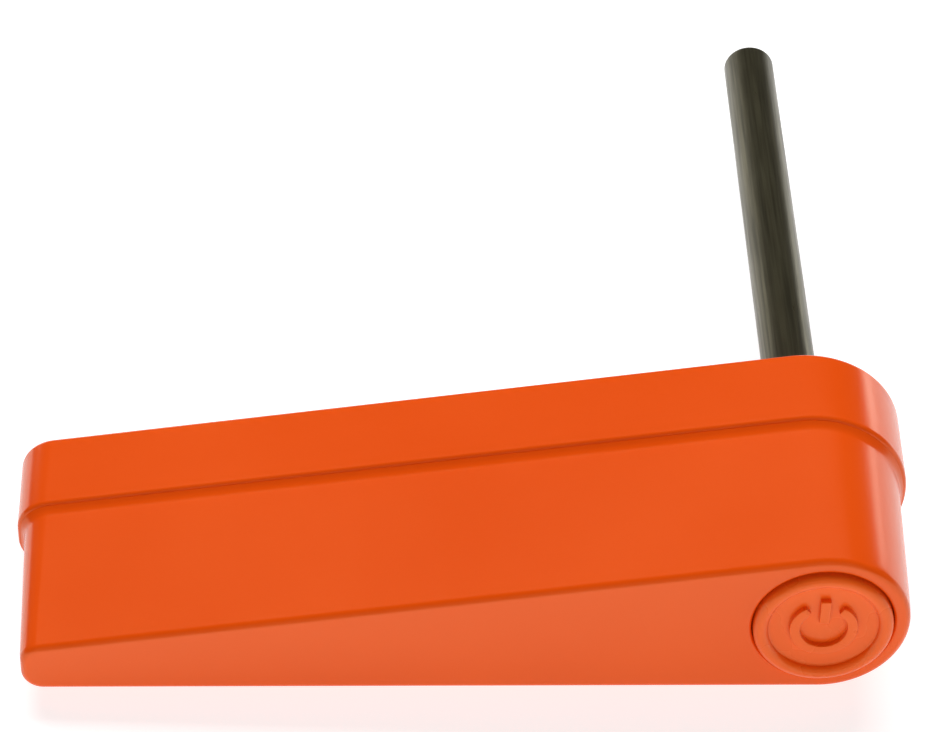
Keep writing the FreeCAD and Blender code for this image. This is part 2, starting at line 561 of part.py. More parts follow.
def probe_clamp():
    """The flanged bush that carries the tube, its seal, and the plate that holds it in."""
    barrel = rod("bush_barrel", "dims.bush_rad", f"dims.bush_back + {SEAL_FRONT}",
                 ("0", "-dims.bush_back", "0"))
    flange = rod("bush_collar", "dims.bush_flange", "dims.bush_flange_thick",
                 ("0", FLANGE_FRONT, "0"))
    hole = rod("bush_bore", f"{ROOT_RAD} + dims.bush_fit", "dims.bush_back",
               ("0", "-dims.bush_back", "0"))
    cut("probe_bush", join("bush_solid", [barrel, flange]), [hole])
    sleeve("probe_seal", "dims.bush_flange", f"{ROOT_RAD} + dims.bush_fit",
           "dims.seal_thick", ("0", SEAL_FRONT, "0"))
    plate_front = f"({FLANGE_FRONT} - dims.plate_thick)"
    plate = rod("plate_disc", "dims.plate_rad", "dims.plate_thick", ("0", plate_front, "0"))
    holes = [rod("plate_bore", "dims.bush_rad + dims.bush_play", "dims.plate_thick",
                 ("0", plate_front, "0"))]
    holes += [rod(f"plate_hole_{i}", "dims.clamp_screw_rad + dims.screw_play",
                  "dims.plate_thick", (x, plate_front, z))
              for i, (x, z) in enumerate(clamp_places(), 1)]
    cut("clamp_plate", plate, holes)
    join("clamp_screws", [
        cross_screw(f"clamp_screw_{i}", x, z, plate_front, (
            "dims.clamp_screw_rad", "dims.clamp_screw_len", "dims.clamp_head_rad",
            "dims.clamp_head_high"), inward=True)
        for i, (x, z) in enumerate(clamp_places(), 1)])


def battery_pieces():
    """The nine volt block, its snap and the foam that holds it against the cover."""
    left = f"({CELL_X} - dims.cell_long)"
    case = block("battery_case", ("dims.cell_long", "dims.cell_deep", "dims.cell_high"),
                 (left, CELL_FRONT, CELL_Z))
    doc.recompute()
    rounded = doc.addObject("Part::Fillet", "battery_rounded")
    rounded.Base = case
    rounded.Edges = [(i, sheet.cell_round, sheet.cell_round)
                     for i, edge in enumerate(case.Shape.Edges, 1) if edge.BoundBox.XLength > 1]
    middle = f"({CELL_FRONT} + dims.cell_deep / 2)"
    level = f"({CELL_Z} + dims.cell_high / 2)"
    places = [f"{middle} - dims.stud_pitch / 2", f"{middle} + dims.stud_pitch / 2"]
    studs = [rod(f"battery_stud_{i}", "dims.stud_rad", "dims.stud_high",
                 (f"{left} - dims.stud_high", y, level), ALONG_X)
             for i, y in enumerate(places, 1)]
    join("battery", [rounded] + studs)
    plate = block("snap_plate", (
        "dims.snap_thick", "dims.cell_deep - 2 * dims.snap_inset",
        "dims.cell_high - 4 * dims.snap_inset"),
        (f"{left} - dims.snap_thick - dims.cell_gap / 2", f"{CELL_FRONT} + dims.snap_inset",
         f"{CELL_Z} + 2 * dims.snap_inset"))
    cups = [rod(f"snap_cup_{i}", "dims.stud_rad + dims.skirt_gap",
                "dims.stud_high + dims.skirt_gap",
                (f"{left} - dims.stud_high - dims.skirt_gap", y, level), ALONG_X)
            for i, y in enumerate(places, 1)]
    cut("battery_snap", plate, cups)
    block("battery_pad", ("dims.cell_long * 2 / 3", "dims.cell_back - dims.cover_wall",
                          "dims.cell_high * 2 / 3"),
          (f"{left} + dims.cell_long / 6", "-dims.cell_back",
           f"{CELL_Z} + dims.cell_high / 6"))


def board_pieces():
    """The main board and the parts soldered to it, placed from its end nearest the battery."""
    block("circuit_board", (BOARD_LONG, BOARD_DEEP, "dims.board_thick"),
          (f"-{BOARD_X} - {BOARD_LONG}", BOARD_Y, BOARD_Z))
    block("board_pad", (f"{BOARD_LONG} * 2 / 3", "dims.board_back - dims.cover_wall",
                        "3 * dims.board_thick"),
          (f"-{BOARD_X} - {BOARD_LONG} * 5 / 6", "-dims.board_back",
           f"{BOARD_Z} - dims.board_thick"))

    cut("sounder", rod("sounder_case", "dims.sounder_rad", "dims.sounder_high",
                       (f"-{BOARD_X} - dims.sounder_x", f"{BOARD_Y} + dims.sounder_y",
                        BOARD_TOP), UPRIGHT),
        [rod("sounder_mouth", "dims.sounder_hole", "dims.sounder_high / 2",
             (f"-{BOARD_X} - dims.sounder_x", f"{BOARD_Y} + dims.sounder_y",
              f"{BOARD_TOP} + dims.sounder_high / 2"), UPRIGHT)])

    side = "dims.trimmer_side"
    cut("trimmer_body", block("trimmer_case", (side, "dims.trimmer_deep", side),
                              (f"{TRIMMER_X} - {side} / 2", f"{TRIMMER_BACK} - dims.trimmer_deep",
                               BOARD_TOP)),
        [rod("rotor_hole", "dims.rotor_rad + dims.rotor_play", "dims.rotor_seat + dims.rotor_play",
             (TRIMMER_X, f"{TRIMMER_BACK} - dims.rotor_seat - dims.rotor_play", TRIMMER_Z))])
    cut("trimmer_rotor", rod("rotor_disc", "dims.rotor_rad", "dims.rotor_seat + dims.rotor_deep / 2",
                             (TRIMMER_X, f"{TRIMMER_BACK} - dims.rotor_seat", TRIMMER_Z)),
        [block("rotor_slot", ("2 * dims.rotor_rad", "dims.slot_deep", "dims.slot_wide"),
               (f"{TRIMMER_X} - dims.rotor_rad",
                f"{TRIMMER_BACK} + dims.rotor_deep / 2 - dims.slot_deep",
                f"{TRIMMER_Z} - dims.slot_wide / 2"))])

    chips = []
    for name, pins, x, y in (("amplifier", 7, "dims.chip_x", "dims.chip_y"),
                             ("timer", 4, "dims.small_chip_x", "dims.small_chip_y")):
        left, front = f"(-{BOARD_X} - {x})", f"({BOARD_Y} + {y} - dims.chip_wide)"
        chips.append(block(name + "_chip", (
            f"{pins} * dims.pin_pitch", "dims.chip_wide", "dims.chip_high"),
            (f"{left} - {pins} * dims.pin_pitch / 2", front, f"{BOARD_TOP} + dims.chip_lift")))
        for pin in range(pins):
            for edge, y_pin in (("front", f"{front} - dims.pin_out"),
                                ("rear", f"{front} + dims.chip_wide")):
                along = f"{pin - (pins - 1) / 2} * dims.pin_pitch - dims.pin_wide / 2"
                chips.append(block(f"{name}_{edge}_pin_{pin}", (
                    "dims.pin_wide", "dims.pin_out", "dims.chip_lift + dims.chip_high / 2"),
                    (f"{left} + {along}", y_pin, BOARD_TOP)))
    join("integrated_circuits", chips)

    join("electrolytic_capacitors", [
        rod(f"can_{i}", "dims.can_rad", "dims.can_high",
            (f"-{BOARD_X} - dims.can_x - {i} * dims.can_pitch", f"{BOARD_Y} + dims.can_y",
             BOARD_TOP), UPRIGHT) for i in range(2)])
    join("film_capacitors", [
        block(f"film_{i}", ("dims.film_long", "dims.film_thick", "dims.film_high"),
              (f"-{BOARD_X} - dims.film_x - dims.film_long",
               f"{BOARD_Y} + dims.film_y - {i} * dims.film_pitch", BOARD_TOP))
        for i in range(2)])

    resistors = []
    level = f"({BOARD_TOP} + dims.resistor_rad)"
    for i in range(4):
        x = f"(-{BOARD_X} - dims.resistor_x - {i} * dims.resistor_pitch)"
        start = f"({BOARD_Y} + dims.resistor_y)"
        resistors.append(rod(f"resistor_{i}", "dims.resistor_rad", "dims.resistor_len",
                             (x, start, level)))
        resistors.append(rod(f"resistor_wire_{i}", "dims.leg_rad",
                             "dims.resistor_len + 2 * dims.leg_out",
                             (x, f"{start} - dims.leg_out", level)))
        for end, y in (("front", f"{start} - dims.leg_out + dims.leg_rad"),
                       ("rear", f"{start} + dims.resistor_len + dims.leg_out - dims.leg_rad")):
            resistors.append(rod(f"resistor_leg_{end}_{i}", "dims.leg_rad * 0.8",
                                 "dims.resistor_rad", (x, y, BOARD_TOP), UPRIGHT))
    join("resistors", resistors)

    transistors = []
    for i in range(2):
        x = f"(-{BOARD_X} - dims.transistor_x)"
        y = f"({BOARD_Y} + dims.transistor_y - {i} * dims.transistor_pitch)"
        wide = "dims.transistor_rad"
        head = cut(f"transistor_{i}", rod(
            f"transistor_round_{i}", wide, "dims.transistor_high",
            (x, y, f"{BOARD_TOP} + dims.transistor_lift"), UPRIGHT),
            [block(f"transistor_flat_{i}", (f"2 * {wide}", wide, "dims.transistor_high"),
                   (f"{x} - {wide}", f"{y} + dims.transistor_flat",
                    f"{BOARD_TOP} + dims.transistor_lift"))])
        transistors.append(head)
        for leg in (-1, 0, 1):
            transistors.append(rod(f"transistor_leg_{i}_{leg + 1}", "dims.leg_rad",
                                   "dims.transistor_lift", (f"{x} + {leg} * dims.pin_pitch / 2",
                                                            y, BOARD_TOP), UPRIGHT))
    join("transistors", transistors)

    block("lead_socket", ("dims.socket_long", "dims.socket_deep", "dims.socket_high"),
          (f"-{BOARD_X} - dims.socket_x - dims.socket_long", f"{BOARD_Y} + dims.socket_y",
           BOARD_TOP))


def lead(name, route, radius):
    """A round wire along straight runs joined by arcs as large as their runs allow."""
    points = [Vector(*(value(rule) for rule in place)) for place in route]
    edges, start = [], points[0]
    for before, corner, after in zip(points, points[1:], points[2:]):
        back, on = (before - corner).normalize(), (after - corner).normalize()
        turn = math.pi - back.getAngle(on)
        if turn < math.radians(1):
            continue
        run = 0.45 * min(before.distanceToPoint(corner), after.distanceToPoint(corner))
        bend = run / math.tan(turn / 2)
        first, last = corner + back * run, corner + on * run
        inward = (back + on).normalize()
        middle = corner + inward * (bend / math.cos(turn / 2) - bend)
        edges.append(Part.LineSegment(start, first).toShape())
        edges.append(Part.Arc(first, middle, last).toShape())
        start = last
    edges.append(Part.LineSegment(start, points[-1]).toShape())
    path = Part.Wire(edges)
    section = Part.Wire(Part.makeCircle(radius, points[0], points[1] - points[0]))
    wire = path.makePipeShell([section], True, True)
    reach = math.pi * radius ** 2 * path.Length
    print(f"{name}: length {path.Length:.1f}, volume {wire.Volume:.2f} against {reach:.2f}")
    return wire


def leads():
    """The wire pairs between the battery snap, the switch, the probe and the board's socket."""
    end_x = f"(-{BOARD_X} - dims.socket_x)"
    end_z = f"({BOARD_TOP} + dims.socket_high * 0.54)"
    slit_x = f"(({CELL_X} - dims.disc_rad) / 2)"
    past_x = f"({CELL_X} - 2 * dims.lead_apart / 3)"
    cell_end = f"({CELL_X} - dims.cell_long - dims.snap_thick - dims.cell_gap / 2)"
    disc_back = f"({DISC_FRONT} + dims.board_thick)"

    def row(place):
        return f"({BOARD_Y} + dims.socket_y + ({place} + 0.65) * dims.pin_pitch)"

    def into_socket(place):
        near = f"({end_x} + dims.socket_x + dims.lead_rad)"
        return [(near, row(place), end_z), (end_x, row(place), end_z)]

    def along(place, level):
        third = "dims.cell_long / 3"
        return [(past_x, row(place), level),
                (f"{past_x} - {third}", row(place), f"{level} - dims.lead_rad / 2"),
                (f"{past_x} - 2 * {third}", row(place), f"{level} + 1.5 * dims.lead_rad"),
                (f"{cell_end} - dims.lead_rad", row(place), level)]

    sets = {"battery_leads": [], "switch_leads": [], "probe_leads": []}
    for i in range(2):
        snap_y = f"({CELL_FRONT} + dims.cell_deep / 4 + {i} * dims.lead_apart)"
        sets["battery_leads"].append(
            [(cell_end, snap_y, end_z), (f"{cell_end} - 4 * dims.lead_rad", snap_y, end_z)]
            + into_socket(4 + i))
        level = f"(({i} - 2.2) * dims.lead_apart)"
        turn = f"({disc_back} + 2 * dims.ear_head_high)"
        sets["switch_leads"].append(
            [("-0.75 * dims.disc_rad", disc_back, level), ("-0.75 * dims.disc_rad", turn, level),
             (slit_x, turn, level), (slit_x, f"{CELL_FRONT} - 3 * dims.lead_rad", level)]
            + along(i, f"({end_z} - 1.4 * dims.lead_apart)") + into_socket(2 + i))
        level = f"(({i} + 0.5) * dims.lead_apart)"
        root = "(dims.plug_inset - dims.probe_root)"
        turn = f"(({disc_back} - dims.probe_root) / 2 + dims.lead_rad)"
        sets["probe_leads"].append(
            [("0", root, level), ("0", turn, level),
             (slit_x, turn, level), (slit_x, f"{CELL_FRONT} - 3 * dims.lead_rad", level)]
            + along(i, end_z) + into_socket(i))
    for name, runs in sets.items():
        obj = doc.addObject("Part::Feature", name)
        obj.Shape = Part.makeCompound([lead(name, run, sheet.lead_rad) for run in runs])


front_housing()
rear_cover()
cover_gasket()
cover_screws()
thread_inserts()
thumb_button()
button_clip()
button_spring()
switch_pieces()
probe_pieces()
probe_clamp()
battery_pieces()
board_pieces()
leads()
doc.recompute()

NODES = [
    "front_housing", "rear_cover", "cover_gasket", "cover_screws", "thread_inserts",
    "thumb_button", "button_clip", "button_spring", "switch_body", "switch_plunger",
    "switch_board", "switch_screws", "probe_tube", "ferrite_core", "coil_former",
    "transmit_winding", "receive_winding_front", "receive_winding_rear", "tube_plug",
    "probe_bush", "probe_seal", "clamp_plate", "clamp_screws", "battery", "battery_snap", "battery_pad",
    "circuit_board", "board_pad", "sounder", "trimmer_body", "trimmer_rotor",
    "integrated_circuits", "electrolytic_capacitors", "film_capacitors", "resistors",
    "transistors", "lead_socket", "battery_leads", "switch_leads", "probe_leads",
]

failed = [o.Name for o in doc.Objects if {"Invalid", "Error"} & set(o.State)]
if failed:
    raise RuntimeError("these objects failed: " + ", ".join(failed))
for name in NODES:
    shape = doc.getObject(name).Shape
    if shape.isNull() or not shape.isValid() or not shape.Solids:
        raise RuntimeError(name + " has no valid solid")

os.makedirs("parts", exist_ok=True)
for name in NODES:
    doc.getObject(name).Shape.exportStep(f"parts/{name}.step")
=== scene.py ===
import json
import math

import bmesh
import bpy
import numpy as np
from mathutils import Matrix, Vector
from mathutils.geometry import delaunay_2d_cdt


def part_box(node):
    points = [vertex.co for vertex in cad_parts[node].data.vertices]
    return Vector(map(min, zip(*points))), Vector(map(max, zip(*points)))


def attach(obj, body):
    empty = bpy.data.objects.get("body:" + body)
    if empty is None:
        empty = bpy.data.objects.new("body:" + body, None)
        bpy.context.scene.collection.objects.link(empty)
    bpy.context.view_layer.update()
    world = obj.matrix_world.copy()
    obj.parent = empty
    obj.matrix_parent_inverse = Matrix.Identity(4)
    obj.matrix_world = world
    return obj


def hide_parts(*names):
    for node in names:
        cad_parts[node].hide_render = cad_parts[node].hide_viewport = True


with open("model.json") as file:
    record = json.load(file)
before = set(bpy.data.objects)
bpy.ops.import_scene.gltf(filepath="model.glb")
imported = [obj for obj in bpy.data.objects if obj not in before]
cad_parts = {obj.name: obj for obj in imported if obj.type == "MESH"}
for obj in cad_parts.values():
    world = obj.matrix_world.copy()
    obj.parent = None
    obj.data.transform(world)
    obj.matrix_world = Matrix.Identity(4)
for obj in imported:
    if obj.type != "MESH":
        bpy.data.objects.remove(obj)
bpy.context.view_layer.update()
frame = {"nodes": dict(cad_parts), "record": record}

# Hand-held pinpointer probe, lying on its lower wide side. Metres, in the CAD frame:
# +Y along the probe to its tip, +X along the grip to the round end, +Z up.

MM = 0.001
NODES = frame["nodes"]

# Case, in millimetres, as the CAD has it
END_RAD, GRIP_LEN, END_HIGH, CORNER_RAD = 15.1, 138.0, 9.7, 3.8
LEAN = math.tan(math.radians(2.6))
FRONT, FLOOR, LIP, RIM = -51.0, -48.8, -17.4, -11.4
WALL, COVER_WALL, GASKET = 1.8, 2.0, 0.8
FRONT_ROUND, REAR_ROUND, LIP_ROUND = 1.3, 1.2, 0.9
RIM_GROW = (RIM - FRONT) * LEAN
COVER_GROW = (LIP - FRONT) * LEAN + 1.7
LEDGE_FOOT, LEDGE_TOP, LEDGE_GROW = -19.4, -17.44, 0.80
LID_LEAN, WELL_ROUND = 0.3, 0.7
WEDGE = 2 * math.atan((GRIP_LEN - math.sqrt(GRIP_LEN ** 2 - END_HIGH * (2 * END_RAD - END_HIGH)))
                      / END_HIGH)

# Screws, posts, well, button and probe
POST_RAD, SCREW_HOLE, HEAD_HOLE, HEAD_DEEP, POST_STOP = 3.0, 1.4, 2.6, 3.4, -14.0
WELL_RAD, WELL_DEEP, WELL_OUT, WELL_BACK, STEM_HOLE = 12.25, -43.0, 13.0, -41.2, 2.58
BITE = 0.2
SIDE_REACH = END_RAD - WALL - POST_RAD + BITE
LAST_POST = GRIP_LEN - WALL - POST_RAD + BITE
POST_ONE, POST_THREE, POST_STEPS = 12.6, 76.0, 48
INSERT_RAD, INSERT_LEN, TIP_ROOM = 1.95, 5.0, 6.4
PROBE_HOLE, PROBE_RAD, PROBE_TIP, ROOT_RAD = 4.95, 5.0, 114.0, 4.8
BORE_RAD, BORE_END, ROOT_END, TIP_ROUND = 4.3, 112.4, -24.0, 1.3

# Switch board's posts, battery's ribs, board's rails, and the openings in the lid
EAR_X, EAR_Z, EAR_RAD, EAR_HOLE, EAR_TOP, EAR_DEEP = 7.6, 8.0, 2.0, 1.0, -33.6, -38.0
RIB_PLACES, RIB_THICK, RIB_LONG, RIB_TOP = (26.0, 54.0), 1.6, 5.8, -36.0
RAIL_PLACES, RAIL_HALF, RAIL_TOP = (-80.7, -128.7), 1.1, -22.3
RAIL_HEIGHTS = ((-13.5, -12.0), (-10.2, -8.8))
CLAMP_CIRCLE, CLAMP_RAD, CLAMP_HOLE, CLAMP_FRONT, CLAMP_DEEP = 10.4, 1.8, 1.0, -4.8, -1.3
TRIMMER_PLACE, TRIMMER_HOLE = (-105.5, -7.0), 2.0
SLOT_PLACES, SLOT_Z, SLOT_HALF, SLOT_TALL = (-91.8, -89.2, -86.6), -6.55, 0.6, 3.4


# ---------------------------------------------------------------- shapes

def case_outline():
    """Points and outward normals of the front outline in X and Z: a round end at the origin,
    two sides, a small square end. Along a side the distance is END_RAD * tan(angle), so equal
    steps of the angle make equal steps round the origin."""
    up = np.array([-math.sin(WEDGE), math.cos(WEDGE)])
    left = CORNER_RAD - GRIP_LEN
    high = (END_RAD - CORNER_RAD + left * math.sin(WEDGE)) / math.cos(WEDGE)
    low = CORNER_RAD - END_RAD

    def arc(centre, radius, start, stop, steps):
        turn = np.linspace(start, stop, steps)
        normal = np.stack([np.cos(turn), np.sin(turn)], 1)
        return np.array(centre) + radius * normal, normal

    def side(far, normal, steps):
        reach = math.atan(far / END_RAD)
        along = END_RAD * np.tan(np.linspace(0, reach, steps))[1:-1, None]
        heading = np.array([-normal[1], normal[0]])
        return END_RAD * normal + along * heading * np.sign(heading[0]) * -1, \
            np.tile(normal, (steps - 2, 1))

    down = np.array([0.0, -1.0])
    far_up = math.hypot(left + CORNER_RAD * up[0] - END_RAD * up[0],
                        high + CORNER_RAD * up[1] - END_RAD * up[1])
    upper, lower = side(far_up, up, 34), side(-left, down, 34)
    wall = np.linspace(high, low, 8)[1:-1]
    runs = [arc((0, 0), END_RAD, -math.pi / 2, math.pi / 2 + WEDGE, 96), upper,
            arc((left, high), CORNER_RAD, math.pi / 2 + WEDGE, math.pi, 16),
            (np.stack([np.full(6, -GRIP_LEN), wall], 1), np.tile([-1.0, 0.0], (6, 1))),
            arc((left, low), CORNER_RAD, math.pi, 1.5 * math.pi, 16),
            (lower[0][::-1], lower[1])]
    return np.concatenate([r[0] for r in runs]), np.concatenate([r[1] for r in runs])


OUTLINE, OUTWARD = case_outline()


def loop_out(grow, y):
    """The case outline moved outwards by grow, at depth y."""
    flat = OUTLINE + grow * OUTWARD
    return np.stack([flat[:, 0], np.full(len(flat), y), flat[:, 1]], 1)


def loop_in(radius, y):
    """A circle round the origin whose points face the outline's, so a plane between is ruled."""
    turn = np.arctan2(OUTLINE[:, 1], OUTLINE[:, 0])
    return np.stack([radius * np.cos(turn), np.full(len(turn), y), radius * np.sin(turn)], 1)


def circle(radius, y, centre=(0.0, 0.0), steps=96):
    """A circle across Y round a centre in X and Z."""
    angle = np.linspace(0, 2 * math.pi, steps, endpoint=False)
    return np.stack([centre[0] + radius * np.cos(angle), np.full(steps, y),
                     centre[1] + radius * np.sin(angle)], 1)


def bend(centre, radius, start, stop, steps=8):
    """Profile points (grow or radius, depth) on an arc, angles in degrees."""
    turn = np.radians(np.linspace(start, stop, steps))
    return [(centre[0] + radius * math.cos(a), centre[1] + radius * math.sin(a)) for a in turn]


def band(loops, closed=False):
    """A surface through equal loops: vertex (i, j) is point j of loop i, with four-sided faces
    between neighbours, round every loop and, if closed, from the last loop to the first."""
    loops = np.asarray(loops)
    rows, cols = loops.shape[:2]
    i = np.arange(rows if closed else rows - 1)[:, None]
    j = np.arange(cols)[None, :]
    nxt, right = (i + 1) % rows, (j + 1) % cols
    quads = np.stack(np.broadcast_arrays(i * cols + j, i * cols + right, nxt * cols + right,
                                         nxt * cols + j), -1)
    return loops.reshape(-1, 3), quads.reshape(-1, 4).tolist()


def capped(loops):
    """A band whose first and last loops are closed by fans to their middles."""
    points, faces = band(loops)
    cols, last = len(loops[0]), len(points) - len(loops[0])
    middle = [np.mean(loops[0], 0), np.mean(loops[-1], 0)]
    for start, hub, step in ((0, len(points), 1), (last, len(points) + 1, 0)):
        ring = start + np.arange(cols)
        nxt = start + (np.arange(cols) + 1) % cols
        pair = (nxt, ring) if step else (ring, nxt)
        faces += np.stack([pair[0], pair[1], np.full(cols, hub)], 1).tolist()
    return np.concatenate([points, middle]), faces


def plate(outer, holes, flip):
    """A flat face across Y inside the outer loop and outside every hole, in triangles whose
    corners are the loops' own points. Points are paired on a copy p * (1 - 8e-6 |p|^2) about
    their middle, where the straight sides bulge a little and so leave no slivers."""
    loops = [outer] + holes
    flat = np.concatenate(loops)
    starts = np.cumsum([0] + [len(one) for one in loops])
    edges = [(int(a), int(b)) for n, s in zip([len(one) for one in loops], starts)
             for a, b in zip(s + np.arange(n), s + (np.arange(n) + 1) % n)]
    spread = flat[:, [0, 2]] - flat[:, [0, 2]].mean(0)
    spread *= 1 - 8e-6 * (spread ** 2).sum(1, keepdims=True)
    made = delaunay_2d_cdt([tuple(p) for p in spread], edges, [], 1, 1e-7)
    source = np.array([ids[0] for ids in made[3]])
    faces = source[np.array(made[2])]
    middle = flat[faces].mean(1)[:, [0, 2]]
    keep = np.ones(len(faces), bool)
    for hole in holes:
        side = hole[:, [0, 2]]
        turn = np.roll(side, -1, 0) - side
        away = middle[:, None] - side[None]
        cross = turn[None, :, 0] * away[:, :, 1] - turn[None, :, 1] * away[:, :, 0]
        keep &= ~(np.all(cross > 0, 1) | np.all(cross < 0, 1))
    faces = faces[keep]
    return flat, (faces[:, ::-1] if flip else faces).tolist()


def brick(low, high):
    """A closed box with its corners given, as a rib or rail inside the case."""
    (x0, y0, z0), (x1, y1, z1) = low, high
    square = [(x0, z0), (x1, z0), (x1, z1), (x0, z1)]
    return capped([[(x, y, z) for x, z in square] for y in (y0, y1)])


def together(parts):
    """Points and faces of several surfaces in one list."""
    points, faces, start = [], [], 0
    for where, corners in parts:
        points.append(np.asarray(where, float))
        faces += [[c + start for c in face] for face in corners]
        start += len(where)
    return np.concatenate(points), faces


def piece(name, parts, finish, body, nodes=(), sharp=32):
    """One mesh object in metres from surfaces in millimetres, faces outwards, with sharp
    edges where faces meet at more than the sharp angle and even shading elsewhere."""
    points, faces = together(parts)
    mesh = bpy.data.meshes.new(name)
    mesh.from_pydata((points * MM).tolist(), [], faces)
    mesh.validate()
    thing = bpy.data.objects.new(name, mesh)
    bpy.context.scene.collection.objects.link(thing)
    work = bmesh.new()
    work.from_mesh(mesh)
    bmesh.ops.remove_doubles(work, verts=work.verts, dist=2e-6)
    bmesh.ops.recalc_face_normals(work, faces=work.faces)
    work.to_mesh(mesh)
    work.free()
    mesh.shade_smooth()
    mesh.set_sharp_from_angle(angle=math.radians(sharp))
    even = thing.modifiers.new("even_shading", "WEIGHTED_NORMAL")
    even.keep_sharp = True
    even.weight = 60
    mesh.materials.append(finish)
    if nodes:
        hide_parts(*nodes)
    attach(thing, body)
    return thing


# ---------------------------------------------------------------- finishes

def new_group(name, inputs, outputs):
    """An empty shader node group with its own sockets: returns it, its input and its output."""
    group = bpy.data.node_groups.new(name, "ShaderNodeTree")
    for label, start in inputs:
        socket = group.interface.new_socket(label, in_out="INPUT", socket_type="NodeSocketFloat")
        socket.default_value = start
    for label in outputs:
        group.interface.new_socket(label, in_out="OUTPUT", socket_type="NodeSocketFloat")
    return group, group.nodes.new("NodeGroupInput"), group.nodes.new("NodeGroupOutput")


def node(tree, kind, links=(), **values):
    """A node with its attributes and sockets set; links are (socket, source socket)."""
    made = tree.nodes.new(kind)
    for key, val in values.items():
        setattr(made, key, val)
    for socket, source in links:
        if hasattr(source, "is_linked"):
            tree.links.new(source, made.inputs[socket])
        else:
            made.inputs[socket].default_value = source
    return made


def make_skin():
    """Moulded skin: fine ripple for the bump, and broad cloud for tone and polish."""
    group, gin, gout = new_group("moulded_skin", [("Fine", 900.0), ("Broad", 30.0)],
                                 ["Ripple", "Cloud"])
    place = node(group, "ShaderNodeTexCoord").outputs["Object"]
    fine = node(group, "ShaderNodeTexNoise", [("Vector", place), ("Scale", gin.outputs["Fine"]),
                                              ("Detail", 2.0), ("Roughness", 0.5)])
    broad = node(group, "ShaderNodeTexNoise", [("Vector", place),
                                               ("Scale", gin.outputs["Broad"]),
                                               ("Detail", 3.0), ("Roughness", 0.55)])
    group.links.new(fine.outputs["Fac"], gout.inputs["Ripple"])
    group.links.new(broad.outputs["Fac"], gout.inputs["Cloud"])
    return group


def make_scuffs():
    """Handling marks: sparse thin scratches in two directions, and small dull spots."""
    group, gin, gout = new_group("handling_marks", [("Scale", 60.0), ("Amount", 0.5)], ["Marks"])
    place = node(group, "ShaderNodeTexCoord").outputs["Object"]
    total = None
    for turn, stretch in (((0.3, 0.2, 0.5), (1.0, 22.0, 22.0)),
                          ((0.9, 0.4, -0.7), (22.0, 1.2, 20.0))):
        mapped = node(group, "ShaderNodeMapping", [("Vector", place), ("Rotation", turn),
                                                   ("Scale", stretch)])
        hair = node(group, "ShaderNodeTexNoise", [("Vector", mapped.outputs["Vector"]),
                                                  ("Scale", gin.outputs["Scale"]),
                                                  ("Detail", 1.0)])
        thin = node(group, "ShaderNodeMapRange", [("Value", hair.outputs["Fac"]),
                                                  ("From Min", 0.70), ("From Max", 0.78)])
        if total is None:
            total = thin.outputs["Result"]
        else:
            total = node(group, "ShaderNodeMath", [(0, total), (1, thin.outputs["Result"])],
                         operation="MAXIMUM").outputs[0]
    patch = node(group, "ShaderNodeTexNoise", [("Vector", place), ("Scale", 45.0),
                                               ("Detail", 2.0)])
    where = node(group, "ShaderNodeMapRange", [("Value", patch.outputs["Fac"]),
                                               ("From Min", 0.48), ("From Max", 0.66)])
    some = node(group, "ShaderNodeMath", [(0, total), (1, where.outputs["Result"])],
                operation="MULTIPLY")
    out = node(group, "ShaderNodeMath", [(0, some.outputs[0]), (1, gin.outputs["Amount"])],
               operation="MULTIPLY")
    group.links.new(out.outputs[0], gout.inputs["Marks"])
    return group


def make_rub():
    """Edge wear: strong where the surface is convex, broken up by noise."""
    group, gin, gout = new_group("edge_rub", [("Start", 0.52), ("Scale", 250.0)], ["Rub"])
    place = node(group, "ShaderNodeTexCoord").outputs["Object"]
    shape = node(group, "ShaderNodeNewGeometry")
    edge = node(group, "ShaderNodeMapRange", [("Value", shape.outputs["Pointiness"]),
                                              ("From Min", gin.outputs["Start"]),
                                              ("From Max", 0.62)])
    noise = node(group, "ShaderNodeTexNoise", [("Vector", place),
                                               ("Scale", gin.outputs["Scale"]),
                                               ("Detail", 4.0)])
    broken = node(group, "ShaderNodeMapRange", [("Value", noise.outputs["Fac"]),
                                                ("From Min", 0.4), ("From Max", 0.65)])
    out = node(group, "ShaderNodeMath", [(0, edge.outputs["Result"]),
                                         (1, broken.outputs["Result"])], operation="MULTIPLY")
    group.links.new(out.outputs[0], gout.inputs["Rub"])
    return group


SKIN, SCUFFS, RUB = make_skin(), make_scuffs(), make_rub()


def linear(colour):
    """An 8-bit display colour as linear values."""
    part = np.array(colour) / 255
    return tuple(np.where(part < 0.04045, part / 12.92, ((part + 0.055) / 1.055) ** 2.4)) + (1.0,)


